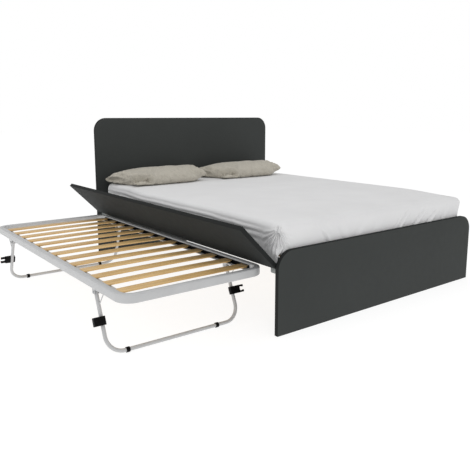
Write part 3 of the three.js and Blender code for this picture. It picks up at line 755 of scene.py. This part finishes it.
def sheet_profile(travel):
    """Outward distance, height and tilt on the sheet's side, from the flat top's rim to its tucked hem."""
    edge, hem, top, full = SHEET["edge_radius"], SHEET["hem_radius"], SHEET["top"], MATTRESS["plan_radius"]
    flat, arc, side, hem_arc = side_lengths()
    if travel < flat:
        return travel, top, 0.0
    travel -= flat
    if travel < arc:
        angle = travel / edge
        return flat + edge * math.sin(angle), top - edge * (1 - math.cos(angle)), angle
    travel -= arc
    if travel < side:
        return full, top - edge - travel, QUARTER
    travel -= side
    if travel < hem_arc:
        angle = travel / hem
        out, z = full - hem * (1 - math.cos(angle)), SHEET["under"] + hem * (1 - math.sin(angle))
        return out, z, QUARTER + angle
    return full - hem - (travel - hem_arc), SHEET["under"], math.pi


def hanging_profile(travel, total):
    """The same on the trundle side, where the hem is not tucked in but hangs in front of the base rail."""
    flat, arc, _, _ = side_lengths()
    start, rim = flat + arc, SHEET["top"] - SHEET["edge_radius"]
    if travel < start:
        return sheet_profile(travel)
    share = (travel - start) / (total - start)
    return MATTRESS["plan_radius"], rim - share * (rim - SHEET["hung_hem"]), QUARTER


def flat_top_half():
    """Half the length along X and Y of the sheet's flat part, inside its rounded corners."""
    m = MATTRESS
    return (m["x1"] - m["x0"]) / 2 - m["plan_radius"], (m["y1"] - m["y0"]) / 2 - m["plan_radius"]


def laid(u, v, total):
    """Where a point of the flat sheet lies before it folds. u and v start at the sheet's middle.
    hang is 1 where the hem hangs free, and away is the way out from the flat top."""
    half_x, half_y = flat_top_half()
    over_x, over_y = max(abs(u) - half_x, 0.0), max(abs(v) - half_y, 0.0)
    size, travel = math.hypot(over_x, over_y), min(max(over_x, over_y), total)
    away = Vector((0, 0))
    if size > 0:
        away = Vector((math.copysign(over_x, u) / size, math.copysign(over_y, v) / size))
    out, z, tilt = sheet_profile(travel)
    turned = math.degrees(math.atan2(abs(away.y), -away.x)) if away.x < 0 else 90.0
    hang = 1 - step(turned, 52, 80)
    if hang > 0:
        hung_out, hung_z, hung_tilt = hanging_profile(travel, total)
        out, z = out + (hung_out - out) * hang, z + (hung_z - z) * hang
        tilt += (hung_tilt - tilt) * hang
    x = MATTRESS["mid_x"] + math.copysign(min(abs(u), half_x), u) + away.x * out
    y = MATTRESS["mid_y"] + math.copysign(min(abs(v), half_y), v) + away.y * out
    normal = Vector((away.x * math.sin(tilt), away.y * math.sin(tilt), math.cos(tilt)))
    if hang > 0 and over_y > 0:
        # the corner's hem is drawn round to hang flat in front of the rail as well
        low, share = step(428 - z, 0, 45) * hang, min(turned / 50.0, 1.0)
        drawn_y = MATTRESS["mid_y"] + math.copysign(half_y + 70.5 * share, v)
        x, y = x + (MATTRESS["x0"] - x) * low, y + (drawn_y - y) * low
        normal = normal.lerp(Vector((-1, 0, 0)), low)
    if size == 0:
        normal = Vector((0, 0, 1))
    corner = over_x > 0 and over_y > 0
    return SimpleNamespace(x=x, y=y, z=z, normal=normal, tilt=tilt, away=away, hang=hang, corner=corner)


def top_swell(p):
    """How the sheet's top bulges over the mattress and waves a little."""
    m = MATTRESS
    edge_x = abs(p.x - m["mid_x"]) / (m["x1"] - m["mid_x"])
    edge_y = abs(p.y - m["mid_y"]) / (m["y1"] - m["mid_y"])
    crown = 4.5 * (1 - edge_x ** 4) * (1 - edge_y ** 4)
    slow = 2.2 * soft_noise(p.x / 330, p.y / 330, 0.3) + 1.1 * soft_noise(p.x / 120, p.y / 160, 5.1)
    return crown + slow * (0.35 if edge_x < 0.96 and edge_y < 0.96 else 0.6)


def round_the_corner(p, left, foot):
    """Distance round the edge from the middle of the corner at the foot on the trundle side."""
    radius = MATTRESS["plan_radius"]
    if p.corner:
        return (math.atan2(foot, left) - math.pi / 4) * radius
    if foot > left:
        return (p.x - MATTRESS["x0"] - radius) + radius * math.pi / 4
    return -((p.y - MATTRESS["y0"] - radius) + radius * math.pi / 4)


def fold_push(p):
    """How far the swell, folds and creases push the sheet out along its normal."""
    push = max(p.normal.z, 0.0) * top_swell(p)
    upright = math.sin(p.tilt) if p.tilt <= QUARTER else max(math.cos(p.tilt - QUARTER), 0.0)
    if upright <= 0:
        return push
    drop, left, foot = SHEET["top"] - p.z, max(-p.away.x, 0.0), max(-p.away.y, 0.0)
    fine = 0.8 * soft_noise(p.x / 60, p.y / 60, p.z / 40) + 1.6 * soft_noise(p.x / 190, p.y / 190, p.z / 90)
    push += upright * fine
    push += upright * left * left * side_folds(p.y, drop)
    push += upright * foot * foot * foot_creases(p.x, p.z)
    if p.x < MATTRESS["mid_x"] and p.y < 700:
        push += upright * corner_gather(round_the_corner(p, left, foot), drop)
    return push


def sheet_point(u, v, total):
    """A point of the flat sheet, put on the mattress with its folds."""
    m, p = MATTRESS, laid(u, v, total)
    place = Vector((p.x, p.y, p.z)) + p.normal * fold_push(p)
    if p.hang > 0.3 and p.z < 415:
        # behind the flap the hem lies close in front of the slats, clear of the hinges
        pressed = step(405 - p.z, 0, 20)
        place.x += (min(max(place.x, 22.6), 23.6) - place.x) * pressed
    else:
        place.z = max(place.z, m["z0"] + 0.3)
    near_rim = 1 - step(p.x - m["x0"], 0, 300)
    place.x += 36.0 * step(p.y, 1380, 1700) * near_rim * step(p.z, 395, 470)
    far_rim = step(p.x, m["x1"] - 120, m["x1"])
    place.x -= 34.0 * step(SHEET["top"] - p.z, 10, 150) * far_rim
    # the far corner at the foot is pulled down and in
    far_corner = step(p.x, m["x1"] - 230, m["x1"]) * (1 - step(p.y, 60, 480))
    place.x -= 11.0 * far_corner
    place.z -= 15.0 * far_corner * step(p.z, 430, 520)
    return place


def fitted_sheet():
    """The sheet: a grid over its flat size, finer where it folds."""
    total = sum(side_lengths()) + SHEET["tuck"]
    half_u, half_v = [half + total for half in flat_top_half()]
    us = edge_lines(half_u, 5.0, 8.0, 8.0)
    vs = edge_lines(half_v, 5.0, 12.0, 18.0)
    verts = [sheet_point(u, v, total) for v in vs for u in us]
    wide = len(us)
    corners = [row * wide + i for row in range(len(vs) - 1) for i in range(wide - 1)]
    faces = [((i, i + 1, i + 1 + wide, i + wide), 0) for i in corners]
    piece = add_piece("fitted_sheet", verts, faces, [COTTON], "main_bed", sharp=180.0)


# ------------ pillows
PILLOW = dict(
    wide=690.0, deep=378.0, centre_y=1800.0, centres=(410.0, 1180.0), bottom=546.8, high=120.0, cell=9.0)
# The open end's inner seam and lips, and the tucked front of the far end, in grid columns and rows.
MOUTH = dict(reach=44.0, lip_up=15.0, lip_down=12.0, tip=26.0, columns=5)
FAR_END = dict(rows=12, tuck=26.0, over=5.0, under=17.0)


def case_outline(u, v):
    """Where a point of the sewn case lies: drawn in between its corners, and skewed at its two ends."""
    x = u * (0.5 - 0.03 * (1 - v * v)) * PILLOW["wide"]
    y = v * (0.5 - 0.05 * (1 - u ** 4)) * PILLOW["deep"]
    slack, far = step(-u, 0.3, 1.0), step(u, 0.4, 1.0)
    x += slack * (48 * ((1 - v) / 2) ** 1.3 - 8 * bell(v - 0.5, 0.5)) - far * 22 * (1 - v) / 2
    y += far * 40 * step(-v, 0.2, 1.0) + slack * 14 * step(-v, 0.2, 1.0)
    return x, y


def seam_height(u, v):
    """How far the seam rises above its middle plane towards the blunt end."""
    return 34 * step(u, 0.45, 1.0) * (1 - 0.35 * step(v, 0.0, 1.0))


def case_swell(u, v):
    """Half the filled case's thickness, from 0 at its seams to 1. The front of the open end is slack."""
    across, along = max(1 - abs(v) ** 2.6, 0.0), max(1 - abs(u) ** 3.2, 0.0)
    slack = 1 - 0.62 * step(-u, 0.45, 0.85) * step(-v, -0.15, 0.5)
    return across ** 0.60 * along ** 0.40 * slack * (1 + 0.10 * v)


def open_end(upper, i, j, ny, v):
    """How the trundle-side end is drawn out: both layers pass the inner seam. Gives a move in X and Z."""
    x = z = 0.0
    if i == 0 and 2 < j < ny - 2:
        x += MOUTH["reach"] * bell(v - 0.5, 0.45)
    if i == 1:
        x -= PILLOW["wide"] / round(PILLOW["wide"] / PILLOW["cell"]) * bell(v - 0.5, 0.7)
        z += (MOUTH["lip_up"] if upper else -MOUTH["lip_down"]) * bell(v - 0.5, 0.42)
    if 1 <= i < MOUTH["columns"]:
        fade = 1 - i / MOUTH["columns"]
        x -= MOUTH["tip"] * fade * bell(v - (0.62 if upper else 0.38), 0.17)
        z -= (14.0 if upper else 0.0) * fade
    return x, z


def far_end(upper, i, j, nx):
    """How the front of the far end is tucked in between its layers. Gives a move in X and Z."""
    rows = FAR_END["rows"]
    if not 0 < j < rows:
        return 0.0, 0.0
    curve = math.sin(j / rows * math.pi)
    if i == nx:
        return -FAR_END["tuck"] * curve, 0.0
    if i == nx - 1:
        return PILLOW["wide"] / nx, (FAR_END["over"] if upper else -FAR_END["under"]) * curve
    return 0.0, 0.0


def blank_point(upper, i, j, nx, ny):
    u, v = i / nx * 2 - 1, j / ny * 2 - 1
    x, y = case_outline(u, v)
    z = case_swell(u, v) * PILLOW["high"] * (0.60 if upper else -0.34) + seam_height(u, v)
    open_x, open_z = open_end(upper, i, j, ny, v)
    far_x, far_z = far_end(upper, i, j, nx)
    return x + open_x + far_x, y, z + open_z + far_z


def pillow_blank():
    """The sewn case, already lens-shaped: two layers of a grid that share the points of their rim."""
    nx, ny = round(PILLOW["wide"] / PILLOW["cell"]), round(PILLOW["deep"] / PILLOW["cell"])
    verts, index, faces = [], {}, []
    for layer in (0, 1):
        for j in range(ny + 1):
            for i in range(nx + 1):
                if layer == 1 and (i in (0, nx) or j in (0, ny)):
                    index[(1, i, j)] = index[(0, i, j)]
                    continue
                index[(layer, i, j)] = len(verts)
                verts.append(blank_point(layer == 1, i, j, nx, ny))
    for layer in (0, 1):
        for j in range(ny):
            for i in range(nx):
                quad = [index[(layer, *c)] for c in ((i, j), (i + 1, j), (i + 1, j + 1), (i, j + 1))]
                faces.append(tuple(quad if layer else reversed(quad)))
    return verts, faces


def fill_level(x):
    """How hard the filling presses: full in the body, slack in the flange at the trundle-side end."""
    return step(x / PILLOW["wide"] + 0.5, 0.05, 0.28)


def add_cloth(piece, pressure, frames):
    cloth = piece.modifiers.new("filling", "CLOTH")
    settings = cloth.settings
    settings.quality = 6
    settings.mass = 0.25
    settings.tension_stiffness = settings.compression_stiffness = 16
    settings.shear_stiffness, settings.bending_stiffness = 8, 0.12
    settings.shrink_min = -0.045
    settings.use_pressure = True
    settings.uniform_pressure_force = pressure
    settings.vertex_group_pressure = "filling"
    settings.effector_weights.gravity = 0.0
    cloth.collision_settings.use_collision = False
    cloth.collision_settings.use_self_collision = False
    cloth.point_cache.frame_start, cloth.point_cache.frame_end = 1, frames


def inflate(piece, frames=16, pressure=0.9, limit=17.0):
    """Lets the case settle round its filling with cloth simulation, and keeps the result as its mesh."""
    start = [v.co.copy() for v in piece.data.vertices]
    group = piece.vertex_groups.new(name="filling")
    for v in piece.data.vertices:
        group.add([v.index], fill_level(v.co.x / MM), "REPLACE")
    add_cloth(piece, pressure, frames)
    scene = bpy.context.scene
    for number in range(1, frames + 1):
        scene.frame_set(number)
    shaped = evaluated_mesh(piece)
    piece.modifiers.clear()
    scene.frame_set(1)
    for v, before in zip(shaped.vertices, start):
        moved = v.co - before
        if moved.length > limit * MM:
            v.co = before + moved * (limit * MM / moved.length)
    piece.data = shaped


def crumple(co):
    """Soft dents and creases of a slack pillowcase, in millimetres along the surface's normal."""
    x, y, z = co
    edge = 1 - step(min(1 - abs(x) / 345.0, 1 - abs(y) / 189.0), 0.02, 0.34)
    push = 3.0 * soft_noise(x / 85, y / 65, z / 50)
    ridge = 1 - abs(soft_noise(x / 48 + 4, y / 75, z / 40)) * 2.2
    push += (1.8 + 3.6 * edge) * max(ridge, 0.0) ** 2
    small = 1 - abs(soft_noise(x / 21 + 9, y / 30, z / 18)) * 2.2
    push += 10.0 * (0.16 + edge) * max(small, 0.0)
    slack = 1 - step(x, -330, -170)
    return push + slack * 4.5 * soft_noise(x / 70, y / 24, z / 50)


def front_fold(x, y):
    """The slanting fold where the filling ends and the flange beyond it lies lower, as a push."""
    half_w, half_d = PILLOW["wide"] / 2, PILLOW["deep"] / 2
    x0, y0, x1, y1 = -0.84 * half_w, -0.40 * half_d, -0.44 * half_w, -1.00 * half_d
    dx, dy = x1 - x0, y1 - y0
    length = math.hypot(dx, dy)
    t = ((x - x0) * dx + (y - y0) * dy) / length ** 2
    away = ((x - x0) * dy - (y - y0) * dx) / length
    fade = step(t, -0.15, 0.2) * (1 - step(t, 0.9, 1.15))
    lip, flange = 18.0 * bell(away + 22, 18.0), 24.0 * step(away, -6, 8) * (1 - step(away, 50, 110))
    return fade * (lip - flange - 40.0 * bell(away - 5, 10.0))


def crease(mesh):
    """Creases the case all over, and folds it at its slack end. The mesh comes out in millimetres."""
    points = [v.co / MM for v in mesh.vertices]
    mesh.update()
    normals = [v.normal.copy() for v in mesh.vertices]
    for v, p, n in zip(mesh.vertices, points, normals):
        p = p + n * crumple(p)
        if n.z > -0.2:
            p += n * front_fold(p.x, p.y)
        v.co = p


def sit(mesh):
    """Flattens the case underneath, brings it to its height over 0, and turns it back into metres."""
    low, high = min(v.co.z for v in mesh.vertices), max(v.co.z for v in mesh.vertices)
    tail = 9.0
    bend = low + 0.20 * (high - low) + tail
    for v in mesh.vertices:
        if v.co.z < bend:
            v.co.z = bend - tail + tail * math.exp((v.co.z - bend) / tail)
    low, high = min(v.co.z for v in mesh.vertices), max(v.co.z for v in mesh.vertices)
    squeeze = PILLOW["high"] / (high - low)
    for v in mesh.vertices:
        v.co = Vector((v.co.x, v.co.y, (v.co.z - low) * squeeze)) * MM


def pillow_shape():
    verts, faces = pillow_blank()
    mesh = bpy.data.meshes.new("pillow_case")
    mesh.from_pydata([Vector(v) * MM for v in verts], [], faces)
    piece = in_scene("pillow_case", mesh)
    inflate(piece)
    shape = piece.data
    bpy.data.objects.remove(piece)
    crease(shape)
    sit(shape)
    return shape


def pillows():
    shape = pillow_shape()
    for node, x in zip(("pillow_trundle_side", "pillow_far_side"), PILLOW["centres"]):
        mesh = shape.copy()
        mesh.name = f"{node}_case"
        offset = (Vector((x, PILLOW["centre_y"], PILLOW["bottom"])) + SHIFT) * MM
        mesh.transform(Matrix.Translation(offset))
        mesh.materials.clear()
        mesh.materials.append(LINEN)
        case = in_scene(f"{node}_case", mesh)
        rounder = case.modifiers.new("rounder", "SUBSURF")
        rounder.levels = rounder.render_levels = 1
        smooth(mesh, 180.0)
        declare(case, "main_bed", [node])


# ------------ carried-over CAD nodes
DRESSING = dict(
    base_rail=SHADED_BASE_STEEL, base_centre=SHADED_BASE_STEEL, rail_shoe=SHADED_BASE_STEEL, centre_leg=SHADED_BASE_STEEL,
    bracket=TRUNDLE_STEEL, hinge=ZINC, bolt=ZINC, base_slat_mat=BEECH)


def dress_cad_nodes():
    """Gives each node that is shown as it is the material of the first word found in its name."""
    for node, piece in NODES.items():
        material = next((DRESSING[word] for word in DRESSING if word in node), None)
        if material:
            piece.data.materials.clear()
            piece.data.materials.append(material)
            smooth(piece.data, 32.0)


# ------------ studio
WHITE = (1.0, 1.0, 1.0, 1.0)
LAMPS = [
    ("key", (-2.5, -4.5, 5.0), 3.0, 42.0), ("overhead", (0.3, 0.2, 5.5), 3.0, 30.0),
    ("side", (-4.6, 0.4, 2.4), 2.4, 20.0),
]


def studio_floor():
    """A pale floor that glows a little, so that it stays near white."""
    mesh = bpy.data.meshes.new("studio_floor")
    size, z = 30.0, -0.0005
    corners = [(-size, -size, z), (size, -size, z), (size, size, z), (-size, size, z)]
    mesh.from_pydata(corners, [], [(0, 1, 2, 3)])
    floor = in_scene("studio_floor", mesh)
    paper = Look("pale studio floor", (0.26, 0.26, 0.26), 0.9, specular=0.0)
    paper.tones(paper.noise(0.6, 2.0), 0.995, 1.005)
    paper.set(Emission_Color=WHITE, Emission_Strength=0.84)
    mesh.materials.append(paper.material)


def studio_dome():
    """An even white dome, a little dimmer as a light than it looks behind the bed."""
    world = bpy.data.worlds.new("studio")
    bpy.context.scene.world = world
    world.use_nodes = True
    nodes, links = world.node_tree.nodes, world.node_tree.links
    dome = nodes["Background"]
    dome.inputs["Color"].default_value = WHITE
    dome.inputs["Strength"].default_value = 0.66
    backdrop = nodes.new("ShaderNodeBackground")
    backdrop.inputs["Strength"].default_value = 1.0
    backdrop.inputs["Color"].default_value = WHITE
    mix, path = nodes.new("ShaderNodeMixShader"), nodes.new("ShaderNodeLightPath")
    links.new(path.outputs["Is Camera Ray"], mix.inputs["Fac"])
    links.new(dome.outputs["Background"], mix.inputs[1])
    links.new(backdrop.outputs["Background"], mix.inputs[2])
    links.new(mix.outputs["Shader"], nodes["World Output"].inputs["Surface"])


def studio_lamps():
    """Large soft lamps, all aimed at the middle of the bed."""
    for name, place, size, power in LAMPS:
        light = bpy.data.lights.new(name, "AREA")
        light.shape, light.size, light.energy = "DISK", size, power
        lamp = in_scene(name, light)
        lamp.location = place
        aim = Vector((0.2, 0.0, 0.4)) - Vector(place)
        lamp.rotation_euler = aim.to_track_quat("-Z", "Y").to_euler()


def camera():
    """Stands off the foot end on the trundle side, about as high as the headboard, looking a little down."""
    data = bpy.data.cameras.new("camera")
    data.sensor_width, data.lens = 36.0, 42.85
    data.shift_x, data.shift_y = 0.0, -0.0577
    data.clip_end = 200.0
    eye = in_scene("camera", data)
    eye.location = (-2.12363, -2.91569, 1.04584)
    eye.rotation_euler = (math.radians(90 - 9.40), 0.0, math.radians(-37.43))
    bpy.context.scene.camera = eye
    bpy.context.scene.view_settings.view_transform = "Standard"


# ------------ the whole bed
end_board("rounded_headboard", "headboard_panel", BED["length"] - BOARD["thickness"], BED["headboard"])
end_board("rounded_footboard", "footboard_panel", 0.0, BED["footboard"])
far_panel()
flap_panel()
trundle_frame()
slat_holder("outer")
slat_holder("inner")
trundle_slats()
for end, facing in (("foot", 1), ("head", -1)):
    leg_tube(end)
    for letter, middle_x in zip("ab", RINGS[end]):
        floor_ring(end, letter, facing * middle_x)
    clip(end, "plain")
    clip(end, "fork")
mattress_core()
fitted_sheet()
pillows()
dress_cad_nodes()
studio_floor()
studio_dome()
studio_lamps()
camera()

bpy.context.view_layer.update()
